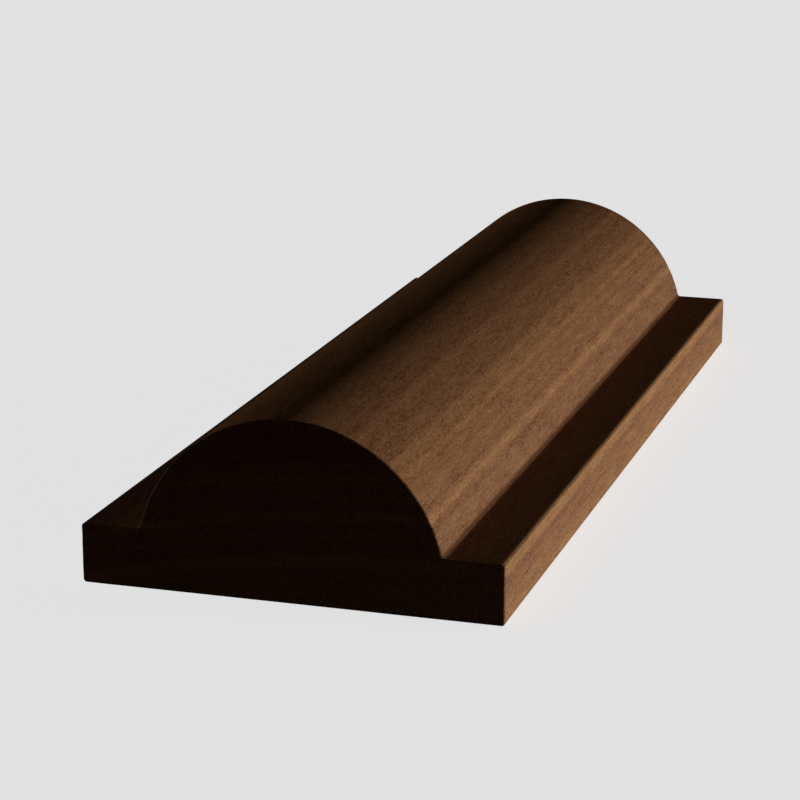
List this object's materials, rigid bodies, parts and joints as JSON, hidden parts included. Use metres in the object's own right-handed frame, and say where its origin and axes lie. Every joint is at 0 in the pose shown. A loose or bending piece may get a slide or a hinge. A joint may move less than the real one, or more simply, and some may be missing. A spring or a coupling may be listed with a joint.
{
  "type": "wood moulding",
  "caption": "Short length of solid wood moulding: a round bead on a flat base that stands out as a plain lip on each side, with a flat back.",
  "frame": {"origin": "middle of the flat back, halfway between the two sawn ends", "axes": "+Y along the moulding, +Z out of the flat back through the crown of the bead, +X across the base to the right lip"},
  "size_m": [0.07, 0.185, 0.03],
  "materials": {
    "walnut": "matt oil"
  },
  "bodies": {
    "root": {"moulding": "walnut"}
  },
  "joints": []
}
